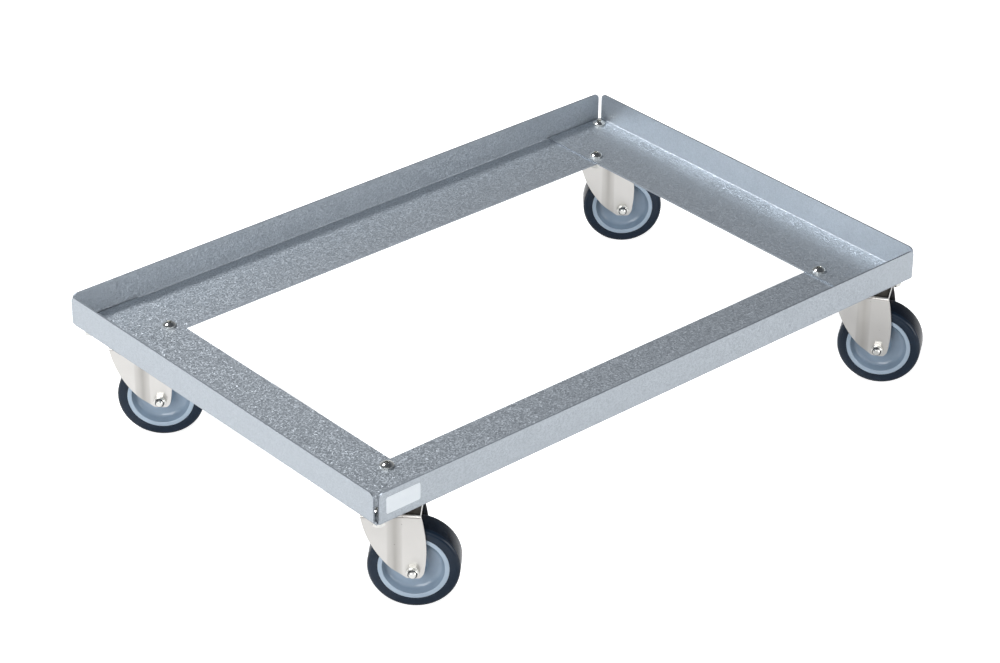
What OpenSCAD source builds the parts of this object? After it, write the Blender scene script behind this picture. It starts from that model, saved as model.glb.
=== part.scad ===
// Low wheeled dolly for stacking crates: four folded, zinc-plated angle profiles
// lapped at the corners, with a light swivel castor screwed under each lap.
// +Z is up, X runs along the long side, and the origin is on the floor under the
// middle of the frame. Lengths are in millimetres.

/* [Frame] */
// Clear length between the short rims, where the crate stands
well_length = 612; // [300:2:1200]
// Clear width between the long rims
well_width = 410; // [250:10:800]
// Thickness of the folded sheet
sheet = 1.5; // [1:0.25:2.5]
// Width of a flange, from the rim's outer face
flange_width = 69; // [67:1:110]
// Height of the rims above the upper flanges
rim_height = 26; // [12:1:80]
// Inside radius of the fold
fold_radius = 1; // [0.5:0.25:2]
// From the frame's outer corner to the end of a rim
rim_gap = 3.25; // [3:0.25:8]
// Rounding of a rim's upper end corners
rim_corner = 5; // [1:0.5:8]
// Rounding of a rim's lower end corners
rim_foot = 2.5; // [1:0.5:4]

/* [Castor plate] */
// Height of the castor, from the floor to the top of its plate
castor_height = 100; // [96:1:140]
// Side of the square mounting plate
plate_size = 60; // [58:1:64]
// Thickness of the mounting plate
plate_thickness = 2.5; // [2:0.25:3]
// Rounding of the plate's corners
plate_corner = 7; // [2:0.5:9]
// Distance between screw holes, the same both ways
hole_spacing = 48; // [46:1:50]
// From the frame's outer faces to the swivel axis
castor_inset = 36; // [34:0.5:38]
// Depth of the pressed dish in the plate
dish_depth = 4.9; // [4.5:0.1:5.2]

/* [Castor directions] */
// Direction in which the front left castor trails, in degrees from +X
turn_front_left = -45; // [-180:1:180]
// Direction in which the front right castor trails
turn_front_right = -55; // [-180:1:180]
// Direction in which the back right castor trails
turn_back_right = -41; // [-180:1:180]
// Direction in which the back left castor trails
turn_back_left = -43; // [-180:1:180]

/* [Swivel head] */
// Diameter of the steel balls
ball_d = 4.76; // [4.5:0.01:4.9]
// Radius of the circle of upper balls
upper_ring = 11.2; // [10.8:0.1:11.6]
// Number of upper balls
upper_balls = 13; // [8:1:13]
// Radius of the circle of lower balls
lower_ring = 7.6; // [7.3:0.1:7.9]
// Number of lower balls
lower_balls = 9; // [6:1:9]
// Height of the swivel head, from the fork's crown to the top of the plate
head_height = 10.5; // [10:0.1:11]
// Diameter of the king pin
king_pin_d = 8; // [7:0.5:8.5]
// Thickness of the lower race cup
cup_thickness = 1.6; // [1.2:0.1:2]
// Height of the upper balls' centres above the crown
ball_rise = 2.9; // [2.8:0.05:3]
// From the upper balls' circle out to the ridge's outer face
ridge_reach = 5.8; // [5.6:0.1:5.8]
// Height of the ridge above the crown
ridge_height = 3.7; // [3.5:0.1:3.8]
// Radial room between the king pin and the crown's hole
crown_hole_room = 1.8; // [1.6:0.1:2]
// How far the king pin's riveted heads reach past its shank
rivet_overlap = 2.2; // [1.8:0.1:2.4]

/* [Fork] */
// From the swivel axis back to the axle
trail = 25; // [22:0.5:28]
// Thickness of the fork's steel
fork_sheet = 2; // [1.75:0.25:2.25]
// Inside radius of the fork's bends
bend_radius = 1; // [0.5:0.25:1.5]
// How far each leg steps in from the head to the axle
joggle = 2.4; // [2:0.4:2.8]
// From the swivel axis back to the middle of the step
joggle_at = 10.5; // [9:0.5:12]
// From the swivel axis forward to the leg's front corner
front_reach = 16.5; // [15:0.5:18]
// From the swivel axis back to the leg's upper rear corner
rear_reach = 31; // [29:0.5:33]
// Radius of the leg's curved front edge
front_edge = 86; // [70:1:110]
// Radius of the leg's curved rear edge
rear_edge = 120; // [90:5:200]
// Radius of the foot round the axle
foot_radius = 9; // [8:0.5:10]

/* [Wheel] */
// Diameter of the wheel
wheel_d = 75; // [70:1:76]
// Width of the tyre
wheel_width = 25; // [22:0.5:28]
// Room between the tyre and each leg
leg_room = 1; // [0.5:0.25:2]
// Rounding of the tyre's edges
tyre_edge = 3.5; // [2:0.25:6]
// Diameter of the wheel centre, inside the tyre
centre_d = 57.6; // [54:0.2:60]
// Width of the light ring that the centre shows round its dish
ring_width = 3.5; // [2.5:0.25:5]
// Thickness of the web between hub and ring
web_thickness = 10; // [6:0.5:14]
// Diameter of the hub at its ends
hub_d = 19; // [16:0.5:22]

/* [Fasteners] */
// Thread diameter of every screw and bolt
thread_d = 6; // [5:0.5:6]
// Across the flats of every nut and bolt head
nut_flats = 10; // [9:0.5:10]
// Height of the nuts under the castor plates
nut_height = 5; // [4:0.5:5]
// Height of the self-locking axle nut
lock_nut_height = 6; // [5.5:0.5:8]
// Diameter of the plate screws' pan heads
pan_d = 12; // [10:0.5:12]
// Height of the pan heads
pan_height = 4.4; // [3.8:0.1:4.6]
// Height of a pan head's straight side, below its dome
pan_side = 1.8; // [1:0.1:2.2]
// Length of the cross recess, from tip to tip
recess_length = 6.4; // [5:0.2:7]
// Width of the recess's wings
recess_width = 1.3; // [1:0.1:1.6]
// How far a plate screw stands out of its nut
thread_end = 1; // [0.5:0.25:1.25]
// How far the axle bolt stands out of its nut
axle_end = 4.5; // [0.5:0.25:6]
// Outside diameter of the sleeve on the axle
sleeve_d = 8; // [7.5:0.25:9]

/* [Fits] */
// Radial room of a shaft that turns or slides in its hole
running_fit = 0.05; // [0.03:0.01:0.1]
// Radial room of a screw in its clearance hole
screw_room = 0.3; // [0.2:0.05:0.4]
// Room round each ball in its races
ball_room = 0.03; // [0.02:0.01:0.05]
// Room between the hub and each leg
side_play = 0.3; // [0.2:0.05:0.5]

/* [Hidden] */
$fn = 64;
CORNERS = ["front_left", "front_right", "back_right", "back_left"];
corner_x = [-1, 1, 1, -1];
corner_y = [-1, -1, 1, 1];
corner_turn = [turn_front_left, turn_front_right, turn_back_right, turn_back_left];
PIECES = ["plate", "king_pin", "upper_balls", "lower_balls", "lower_race", "fork",
    "axle_bolt", "axle_nut", "axle_sleeve", "wheel_centre", "tyre", "plate_screws",
    "plate_nuts"];

// Small lengths that follow how the pieces are pressed and turned.
leg_tail = 7;
floor_lift = 0.5;
race_rounding = 0.8;
cup_gap = 0.8;
bolt_head_height = 4;
hexagon_chamfer = 0.6;
dish_draft = 3.5;

half_length = well_length / 2 + sheet;
half_width = well_width / 2 + sheet;
fold_outer = fold_radius + sheet;
lower_flange_top = castor_height + sheet;
upper_flange_top = castor_height + 2 * sheet;
rim_top = upper_flange_top + rim_height;

plate_bottom = castor_height - plate_thickness;
dish_bottom = plate_bottom - dish_depth;
dish_floor = dish_bottom + plate_thickness;
crown_top = castor_height - head_height;
crown_bottom = crown_top - fork_sheet;
crown_floor_top = crown_bottom + floor_lift;
crown_floor_bottom = crown_floor_top - fork_sheet;
ball_reach = ball_d / 2 + ball_room;
slope_step = ball_reach * sqrt(2);
upper_ball_z = crown_top + ball_rise;
lower_ball_z = crown_floor_bottom - ball_reach;
cup_top = lower_ball_z - ball_reach;
cup_bottom = cup_top - cup_thickness;
ridge_outer = upper_ring + ridge_reach;
ridge_top = crown_top + ridge_height;
crown_hole = king_pin_d / 2 + crown_hole_room;
king_pin_head = king_pin_d / 2 + rivet_overlap;

axle_z = wheel_d / 2;
fork_gap = wheel_width + 2 * leg_room;
leg_outer = fork_gap / 2 + fork_sheet;
head_half = leg_outer + joggle;
bend_outer = bend_radius + fork_sheet;

hub_half = fork_gap / 2 - side_play;
centre_r = centre_d / 2;
thread_r = thread_d / 2;
nut_r = nut_flats / 2 / cos(30);

plated = [0.66, 0.70, 0.74];
stainless = [0.82, 0.81, 0.79];
bright = [0.88, 0.88, 0.88];
blue_grey = [0.42, 0.48, 0.55];
dark_rubber = [0.15, 0.19, 0.24];

// Points of an arc round c, from angle a to angle b.
function arc(c, r, a, b, steps = 8) =
    [for (i = [0:steps]) let (t = a + (b - a) * i / steps) c + r * [cos(t), sin(t)]];

// Where a circle round p and a circle round q meet, to the left of the way from p to q.
function meet(p, rp, q, rq) =
    let (d = q - p, far = norm(d), a = (rp * rp - rq * rq + far * far) / (2 * far))
    p + d / far * a + [-d[1], d[0]] / far * sqrt(rp * rp - a * a);

// Frame: one folded angle profile, its rim's outer face on y = 0 and its flange
// reaching to +Y, along X from -half to half.
module folded_side(half, flange_top) {
    bottom = flange_top - sheet;
    difference() {
        union() {
            rotate([90, 0, 90])
                translate([0, 0, -half + fold_outer])
                    linear_extrude(2 * (half - fold_outer))
                        translate([fold_outer, bottom])
                            square([flange_width - fold_outer, sheet]);
            intersection() {
                rotate([90, 0, 90])
                    translate([0, 0, -half + rim_gap])
                        linear_extrude(2 * (half - rim_gap))
                            rim_profile(bottom);
                rotate([90, 0, 0])
                    translate([0, 0, -fold_outer - 1])
                        linear_extrude(fold_outer + 2)
                            rim_outline(half - rim_gap, bottom);
            }
        }
        for (end = [-1, 1])
            for (depth = [castor_inset - hole_spacing / 2, castor_inset + hole_spacing / 2])
                translate([end * (half - depth), depth, bottom - 1])
                    cylinder(r = thread_r + screw_room, h = sheet + 2);
    }
}

// The rim and its fold in section.
module rim_profile(bottom) {
    translate([0, bottom + fold_outer])
        square([sheet, rim_top - bottom - fold_outer]);
    translate([fold_outer, bottom + fold_outer])
        intersection() {
            difference() {
                circle(fold_outer);
                circle(fold_radius);
            }
            translate([-fold_outer, -fold_outer])
                square(fold_outer);
        }
}

// The rim seen from outside, with its rounded end corners.
module rim_outline(half, bottom) {
    difference() {
        translate([-half, bottom])
            square([2 * half, rim_top - bottom]);
        for (end = [-1, 1])
            on_side(end) {
                translate([half - rim_corner, rim_top - rim_corner])
                    corner_waste(rim_corner);
                translate([half - rim_foot, bottom + rim_foot])
                    mirror([0, 1])
                        corner_waste(rim_foot);
            }
    }
}

// Mirrors its children to -X where side is -1.
module on_side(side) {
    mirror([side < 0 ? 1 : 0, 0, 0])
        children();
}

// What a rounding of radius r takes off the corner at [r, r].
module corner_waste(r) {
    difference() {
        square(r + 1);
        circle(r);
    }
}

module long_side(back) {
    color(plated)
        rotate([0, 0, back ? 180 : 0])
            translate([0, -half_width, 0])
                folded_side(half_length, lower_flange_top);
}

module short_side(right) {
    color(plated)
        rotate([0, 0, right ? 90 : -90])
            translate([0, -half_length, 0])
                folded_side(half_width, upper_flange_top);
}

// Places its children at a castor, square to the frame.
module at_castor(i) {
    translate([corner_x[i] * (half_length - castor_inset),
            corner_y[i] * (half_width - castor_inset), 0])
        children();
}

// Places its children at a castor, turned so that it trails along +X.
module at_swivel(i) {
    at_castor(i)
        rotate([0, 0, corner_turn[i]])
            children();
}

// Places its children at a wheel, with the axle along Z and the nut's end up.
module at_axle(i) {
    at_swivel(i)
        translate([trail, 0, axle_z])
            rotate([90, 0, 0])
                children();
}

// Places its children at the two holes that lie on the frame's diagonal.
module at_plate_screws(i) {
    at_castor(i)
        for (out = [-1, 1])
            translate([out * corner_x[i], out * corner_y[i], 0] * hole_spacing / 2)
                children();
}

module rounded_square(size, r) {
    square([size, size - 2 * r], center = true);
    square([size - 2 * r, size], center = true);
    for (x = [-1, 1], y = [-1, 1])
        translate([x, y] * (size / 2 - r))
            circle(r);
}

// Mounting plate, pressed down in the middle into a dish that is the upper race.
module plate(i) {
    wall = plate_thickness * sqrt(2);
    bottom_r = upper_ring - slope_step + plate_bottom - upper_ball_z;
    color(stainless)
        at_castor(i) {
            difference() {
                translate([0, 0, plate_bottom])
                    linear_extrude(plate_thickness)
                        rounded_square(plate_size, plate_corner);
                translate([0, 0, plate_bottom - 1])
                    cylinder(r = bottom_r + 1, h = plate_thickness + 2);
                for (x = [-1, 1], y = [-1, 1])
                    translate([x * hole_spacing / 2, y * hole_spacing / 2, plate_bottom - 1])
                        cylinder(r = thread_r + screw_room, h = plate_thickness + 2);
            }
            rotate_extrude()
                polygon([
                    [king_pin_d / 2 + running_fit, dish_bottom],
                    [bottom_r - dish_depth, dish_bottom],
                    [bottom_r, plate_bottom],
                    [bottom_r + 2, plate_bottom],
                    [bottom_r + 2, castor_height],
                    [bottom_r + plate_thickness - wall, castor_height],
                    [bottom_r + plate_thickness - wall - dish_depth, dish_floor],
                    [king_pin_d / 2 + running_fit, dish_floor]
                ]);
        }
}

// King pin, riveted over the dish above and the lower race below.
module king_pin(i) {
    color(bright)
        at_castor(i) {
            translate([0, 0, cup_bottom])
                cylinder(r = king_pin_d / 2, h = dish_floor - cup_bottom);
            translate([0, 0, dish_floor])
                rivet_head(king_pin_head, 2);
            translate([0, 0, cup_bottom])
                mirror([0, 0, 1])
                    rivet_head(king_pin_head, 2);
        }
}

module rivet_head(r, h) {
    cylinder(r1 = r, r2 = r * 0.97, h = h / 2);
    translate([0, 0, h / 2])
        cylinder(r1 = r * 0.97, r2 = r * 0.6, h = h / 2);
}

module ball_ring(i, ring, count, z, first) {
    color(bright)
        at_castor(i)
            for (b = [0:count - 1])
                rotate([0, 0, first + b * 360 / count])
                    translate([ring, 0, z])
                        sphere(ball_d / 2);
}

// Lower race, a cup that the king pin holds up against the lower balls.
module lower_race(i) {
    inner = lower_ring + ball_reach + 0.2;
    color(bright)
        at_castor(i)
            rotate_extrude()
                polygon([
                    [king_pin_d / 2 + running_fit, cup_bottom],
                    [inner + cup_thickness - race_rounding, cup_bottom],
                    [inner + cup_thickness, cup_bottom + race_rounding],
                    [inner + cup_thickness, crown_floor_bottom - cup_gap],
                    [inner, crown_floor_bottom - cup_gap],
                    [inner, cup_top],
                    [king_pin_d / 2 + running_fit, cup_top]
                ]);
}

// Fork: a flat crown with the pressed race, and two bent legs that step in.
module fork(i) {
    race_cut = ridge_outer - 1.3;
    color(stainless)
        at_swivel(i)
            difference() {
                union() {
                    difference() {
                        union() {
                            intersection() {
                                union() {
                                    fork_crown();
                                    fork_leg();
                                    mirror([0, 1, 0])
                                        fork_leg();
                                }
                                rotate([90, 0, 0])
                                    translate([0, 0, -head_half - 1])
                                        linear_extrude(2 * head_half + 2)
                                            fork_outline();
                            }
                            fork_nose();
                        }
                        translate([0, 0, crown_bottom - bend_radius / 2])
                            cylinder(r = race_cut, h = head_height);
                    }
                    crown_race();
                }
                translate([trail, 0, axle_z])
                    rotate([90, 0, 0])
                        cylinder(r = thread_r + screw_room, h = 4 * head_half,
                            center = true);
            }
}

// The flat of the crown, between the tails of the legs' bends.
module fork_crown() {
    half = leg_outer - bend_outer - 0.5;
    translate([-front_reach - 3, -half, crown_bottom])
        cube([front_reach + rear_reach + 6, 2 * half, fork_sheet]);
}

// The crown's round nose, which stands out a little in front of the race.
module fork_nose() {
    nose = ridge_outer + 1;
    half = head_half - bend_outer - 1;
    translate([0, 0, crown_bottom])
        linear_extrude(fork_sheet)
            intersection() {
                circle(nose);
                translate([-nose - 1, -half])
                    square([nose + 1, 2 * half]);
            }
}

// One leg with its bend, swept along the step: straight, in, back and straight.
// Each curve of the step turns by the small angle of a 44-117-125 triangle.
module fork_leg() {
    turn = acos(117 / 125);
    curve = joggle / 2 / (1 - 117 / 125);
    start = joggle_at - curve * 44 / 125;
    finish = joggle_at + curve * 44 / 125;
    near = curve - fork_sheet / 2;
    far = curve + fork_sheet / 2;
    leg_run(-front_reach - 4, start, head_half);
    leg_run(finish, rear_reach + 8, leg_outer);
    translate([start, head_half - far, 0])
        mirror([1, 0, 0])
            rotate([0, 0, 90])
                rotate_extrude(angle = turn)
                    translate([far, 0])
                        leg_profile();
    translate([finish, leg_outer + near, 0])
        mirror([1, 0, 0])
            rotate([0, 0, 270])
                rotate_extrude(angle = turn)
                    translate([near, 0])
                        mirror([1, 0])
                            leg_profile();
}

module leg_run(from, to, half) {
    translate([from, half, 0])
        rotate([90, 0, 90])
            linear_extrude(to - from)
                leg_profile();
}

// A leg in section: its outer face on x = 0, its bend and a tail under the crown's top.
module leg_profile() {
    bottom = axle_z - foot_radius - 2;
    translate([-fork_sheet, bottom])
        square([fork_sheet, crown_top - bend_outer - bottom]);
    translate([-leg_tail, crown_bottom])
        square([leg_tail - bend_outer, fork_sheet]);
    translate([-bend_outer, crown_top - bend_outer])
        intersection() {
            difference() {
                circle(bend_outer);
                circle(bend_radius);
            }
            square(bend_outer);
        }
}

// A leg's outline from the side: two large arcs that run into the round foot.
module fork_outline() {
    foot = [trail, axle_z];
    front_centre = meet([-front_reach, crown_top], front_edge, foot, front_edge - foot_radius);
    rear_centre = meet(foot, rear_edge - foot_radius, [rear_reach, crown_top], rear_edge);
    front_touch = foot + foot_radius * (foot - front_centre) / norm(foot - front_centre);
    rear_touch = foot + foot_radius * (foot - rear_centre) / norm(foot - rear_centre);
    side = 2 * castor_height;
    translate(foot)
        circle(foot_radius);
    intersection() {
        translate(front_centre)
            circle(front_edge);
        translate(rear_centre)
            circle(rear_edge);
        polygon([front_touch, rear_touch, [side, rear_touch[1]], [side, crown_top + 1],
            [-side, crown_top + 1], [-side, front_touch[1]]]);
    }
}

// The race pressed into the crown: a ridge round the balls and a floor that
// the lower balls carry.
module crown_race() {
    slope_floor_r = upper_ring + crown_floor_top - upper_ball_z + slope_step;
    slope_top_r = upper_ring + ridge_top - upper_ball_z + slope_step;
    wall = fork_sheet * sqrt(2);
    inner_r = ridge_outer - fork_sheet;
    under_r = slope_floor_r + wall - fork_sheet;
    rotate_extrude()
        polygon(concat(
            [
                [crown_hole, crown_floor_bottom],
                [under_r, crown_floor_bottom],
                [inner_r, crown_floor_bottom + inner_r - under_r],
                [inner_r, crown_bottom],
                [ridge_outer, crown_bottom]
            ],
            arc([ridge_outer - race_rounding, ridge_top - race_rounding], race_rounding, 0, 90, 5),
            [
                [slope_top_r, ridge_top],
                [slope_floor_r, crown_floor_top],
                [crown_hole, crown_floor_top]
            ]
        ));
}

// Axle bolt, its head on the leg away from the nut.
module axle_bolt(i) {
    color(bright)
        at_axle(i) {
            translate([0, 0, -leg_outer])
                cylinder(r = thread_r, h = 2 * leg_outer + lock_nut_height + axle_end);
            translate([0, 0, -leg_outer])
                mirror([0, 0, 1])
                    hexagon(bolt_head_height, hexagon_chamfer);
        }
}

// A hexagon of height h whose far corners are turned down by a chamfer.
module hexagon(h, chamfer) {
    intersection() {
        cylinder(r = nut_r, h = h, $fn = 6);
        union() {
            cylinder(r = nut_r + 1, h = h - chamfer);
            translate([0, 0, h - chamfer])
                cylinder(r1 = nut_r + 0.1, r2 = nut_r - chamfer, h = chamfer);
        }
    }
}

// Self-locking axle nut: a hexagon and the collar that holds its nylon ring.
module axle_nut(i) {
    hex_height = lock_nut_height - 1.8;
    collar_r = nut_flats / 2 - 0.5;
    color(bright)
        at_axle(i)
            translate([0, 0, leg_outer])
                difference() {
                    union() {
                        hexagon(hex_height, 0.5);
                        translate([0, 0, hex_height - 0.5])
                            cylinder(r = collar_r, h = 1.5);
                        translate([0, 0, hex_height + 1])
                            cylinder(r1 = collar_r, r2 = collar_r - 0.8, h = 0.8);
                    }
                    translate([0, 0, -1])
                        cylinder(r = thread_r + running_fit, h = lock_nut_height + 2);
                }
}

// Sleeve that the bolt clamps between the legs; the wheel turns on it.
module axle_sleeve(i) {
    color(bright)
        at_axle(i)
            difference() {
                cylinder(r = sleeve_d / 2, h = fork_gap, center = true);
                cylinder(r = thread_r + running_fit, h = fork_gap + 2, center = true);
            }
}

// Moulded wheel centre: hub, dished web and the ring that carries the tyre.
module wheel_centre(i) {
    color(blue_grey)
        at_axle(i)
            rotate_extrude()
                polygon(concat(centre_side(1), reversed(centre_side(-1))));
}

function reversed(list) = [for (k = [len(list) - 1:-1:0]) list[k]];

// One side of the wheel centre in section, from the bore out to the tyre's seat.
function centre_side(side) =
    let (
        bore = sleeve_d / 2 + running_fit,
        hub_r = hub_d / 2,
        ring_face = wheel_width / 2 - 0.5,
        ring_r = centre_r - ring_width,
        web = web_thickness / 2,
        hub_fillet = 2.5,
        ring_fillet = 3,
        lean = atan(dish_draft / (ring_face - web - ring_fillet / 2)),
        half = [
            [bore, hub_half],
            [hub_r - 0.6, hub_half],
            [hub_r, hub_half - 0.6],
            each arc([hub_r + 1 + hub_fillet, web + hub_fillet], hub_fillet, 180, 270),
            each arc([ring_r - dish_draft - ring_fillet, web + ring_fillet], ring_fillet, -90, -lean),
            [ring_r - 0.3, ring_face - 0.3],
            [ring_r, ring_face],
            [centre_r, ring_face],
            [centre_r, tongue_foot()],
            [centre_r + tongue_height(), tongue_foot() - 1]
        ]
    )
    [for (p = half) [p[0], side * p[1]]];

// The tongue round the centre that keeps the tyre in place.
function tongue_foot() = wheel_width / 4;
function tongue_height() = 2;

// Tyre, moulded over the centre's tongue.
module tyre(i) {
    half = wheel_width / 2;
    radius = wheel_d / 2;
    color(dark_rubber)
        at_axle(i)
            rotate_extrude()
                difference() {
                    translate([centre_r, -half])
                        square([radius - centre_r, wheel_width]);
                    for (up = [0, 1])
                        mirror([0, up])
                            translate([radius - tyre_edge, half - tyre_edge])
                                corner_waste(tyre_edge);
                    polygon([
                        [centre_r - 1, -tongue_foot()],
                        [centre_r, -tongue_foot()],
                        [centre_r + tongue_height(), 1 - tongue_foot()],
                        [centre_r + tongue_height(), tongue_foot() - 1],
                        [centre_r, tongue_foot()],
                        [centre_r - 1, tongue_foot()]
                    ]);
                }
}

// Pan head screws through both flanges and the plate.
module plate_screws(i) {
    thread_bottom = plate_bottom - nut_height - thread_end;
    color(bright)
        at_plate_screws(i) {
            translate([0, 0, thread_bottom])
                cylinder(r = thread_r, h = upper_flange_top - thread_bottom);
            translate([0, 0, upper_flange_top])
                pan_head();
        }
}

// A pan head: a low dome over a straight side, with a cross recess that tapers down.
module pan_head() {
    rise = pan_height - pan_side;
    dome = (pow(pan_d / 2, 2) + pow(rise, 2)) / (2 * rise);
    recess_depth = 0.6 * pan_height;
    difference() {
        rotate_extrude()
            intersection() {
                translate([0, pan_height - dome])
                    circle(dome);
                square([pan_d / 2, pan_height]);
            }
        intersection() {
            translate([0, 0, pan_height - recess_depth])
                cylinder(r1 = recess_length / 4, r2 = recess_length / 2, h = recess_depth + 0.5);
            for (turn = [0, 90])
                rotate([0, 0, turn])
                    translate([0, 0, pan_height])
                        cube([2 * recess_length, recess_width, 2 * pan_height], center = true);
        }
    }
}

// Nuts of the plate screws, under the plate.
module plate_nuts(i) {
    color(bright)
        at_plate_screws(i)
            translate([0, 0, plate_bottom - nut_height])
                difference() {
                    mirror([0, 0, 1])
                        translate([0, 0, -nut_height])
                            hexagon(nut_height, hexagon_chamfer);
                    translate([0, 0, -1])
                        cylinder(r = thread_r + running_fit, h = nut_height + 2);
                }
}

long_side(false);  // front_side
long_side(true);  // back_side
short_side(false);  // left_side
short_side(true);  // right_side
for (i = [0:3]) {
    name = CORNERS[i];
    plate(i);
    king_pin(i);
    ball_ring(i, upper_ring, upper_balls, upper_ball_z, 0);
    ball_ring(i, lower_ring, lower_balls, lower_ball_z, 180 / lower_balls);
    lower_race(i);
    fork(i);
    axle_bolt(i);
    axle_nut(i);
    axle_sleeve(i);
    wheel_centre(i);
    tyre(i);
    plate_screws(i);
    plate_nuts(i);
}
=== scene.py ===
import math

import bpy
from mathutils import Matrix, Vector


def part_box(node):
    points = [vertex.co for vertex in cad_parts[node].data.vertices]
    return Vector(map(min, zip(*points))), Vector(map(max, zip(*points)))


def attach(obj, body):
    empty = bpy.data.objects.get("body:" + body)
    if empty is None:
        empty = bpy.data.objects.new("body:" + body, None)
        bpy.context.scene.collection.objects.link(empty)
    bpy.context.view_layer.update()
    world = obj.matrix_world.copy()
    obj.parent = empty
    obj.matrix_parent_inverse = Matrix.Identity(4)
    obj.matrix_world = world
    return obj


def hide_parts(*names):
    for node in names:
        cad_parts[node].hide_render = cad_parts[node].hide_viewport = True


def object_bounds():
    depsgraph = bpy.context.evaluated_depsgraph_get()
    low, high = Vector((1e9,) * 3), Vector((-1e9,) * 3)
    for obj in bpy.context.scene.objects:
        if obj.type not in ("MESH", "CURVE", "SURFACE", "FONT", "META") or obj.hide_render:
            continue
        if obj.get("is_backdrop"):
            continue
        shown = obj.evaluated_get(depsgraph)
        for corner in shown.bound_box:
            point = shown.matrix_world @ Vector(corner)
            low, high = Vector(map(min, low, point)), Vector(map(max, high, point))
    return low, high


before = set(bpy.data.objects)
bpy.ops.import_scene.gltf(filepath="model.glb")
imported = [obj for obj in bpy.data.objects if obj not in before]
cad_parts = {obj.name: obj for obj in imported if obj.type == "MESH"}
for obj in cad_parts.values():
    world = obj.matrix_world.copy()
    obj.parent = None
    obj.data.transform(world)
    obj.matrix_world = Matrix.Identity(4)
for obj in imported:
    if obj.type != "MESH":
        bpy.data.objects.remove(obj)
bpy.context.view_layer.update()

# The studio
# A white sweep seen from above the dolly's front left corner, with a long lens. A small soft
# box hangs high behind the dolly, and two wide ones fill its left and its front.
MM = 0.001
PHOTO_WIDTH, PHOTO_HEIGHT = 1000, 663
SENSOR = 36.0
# The camera, as the dolly's straight edges in the photograph give it
FOCAL_PIXELS = 3199.12
CENTRE_PIXEL = (596.2, 356.7)
CAMERA_AZIMUTH = math.radians(-43.291)
CAMERA_ELEVATION = math.radians(30.591)
CAMERA_ROLL = math.radians(1.488)
CAMERA_DISTANCE = 2788.54 * MM
CAMERA_SLIDE = (83.52 * MM, -51.26 * MM)
FRAME_DECK = 103 * MM
VIEW_REACH = 50
FLOOR_RADIUS = 30
# Light that the floor adds by itself, to the eye and in mirrors of it
FLOOR_LIFT = 0.88
FLOOR_LIFT_IN_METAL = 0.44
# What metal sees on the camera's side: a dark floor, a dark horizon and a bright wall
TOWARDS_CAMERA = (-0.686, -0.728, 0)
CAMERA_SIDE = (0.35, 0.75)
HORIZON_GLOW = [(0.0, "2a2d31"), (0.10, "2a2d31"), (0.26, "ffffff"), (0.78, "ffffff"),
    (0.9, "52565c")]
CAMERA_SIDE_LIGHT = 1.5
FLOOR_FADE = (0.45, 0.95)
# Each soft box: its name, its place and side in metres, and its power in watts
SOFT_BOXES = (("overhead_softbox", (-0.87, 1.35, 2.6), 0.55, 91),
    ("left_softbox", (-2.6, -0.9, 1.0), 1.6, 37),
    ("front_softbox", (1.0, -2.6, 0.6), 1.6, 31))
LAMP_AIM = Vector((0, 0, 0.1))


def linear(code):
    """A colour written as sRGB hex, such as "a1b2c3", in Blender's linear values."""
    values = [int(code[i:i + 2], 16) / 255 for i in (0, 2, 4)]
    return [v / 12.92 if v <= 0.04045 else ((v + 0.055) / 1.055) ** 2.4 for v in values] + [1.0]


def add_node(tree, kind, settings=(), links=()):
    """A shader node with its settings and links. A setting is (name or socket, value)."""
    node = tree.nodes.new(kind)
    for name, value in settings:
        if isinstance(name, str) and hasattr(node, name):
            setattr(node, name, value)
        else:
            node.inputs[name].default_value = value
    for name, source in links:
        tree.links.new(source, node.inputs[name])
    return node


def place_camera():
    """The photograph's view: a long lens, slightly rolled, with the picture cut off-centre."""
    a, e, r = CAMERA_AZIMUTH, CAMERA_ELEVATION, CAMERA_ROLL
    right = Vector((math.cos(a), math.sin(a), 0))
    back = Vector((math.sin(a) * math.cos(e), -math.cos(a) * math.cos(e), math.sin(e)))
    up = back.cross(right)
    across = right * math.cos(r) + up * math.sin(r)
    upward = up * math.cos(r) - right * math.sin(r)
    bpy.ops.object.camera_add()
    camera = bpy.context.object
    camera.name = "photo_camera"
    place = back * CAMERA_DISTANCE + across * CAMERA_SLIDE[0] + upward * CAMERA_SLIDE[1]
    place.z += FRAME_DECK
    turn = Matrix((across, upward, back)).transposed()
    camera.matrix_world = Matrix.Translation(place) @ turn.to_4x4()
    camera.data.sensor_width = SENSOR
    camera.data.lens = FOCAL_PIXELS / PHOTO_WIDTH * SENSOR
    camera.data.shift_x = (PHOTO_WIDTH / 2 - CENTRE_PIXEL[0]) / PHOTO_WIDTH
    camera.data.shift_y = (CENTRE_PIXEL[1] - PHOTO_HEIGHT / 2) / PHOTO_WIDTH
    camera.data.clip_end = VIEW_REACH
    bpy.context.scene.camera = camera


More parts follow.
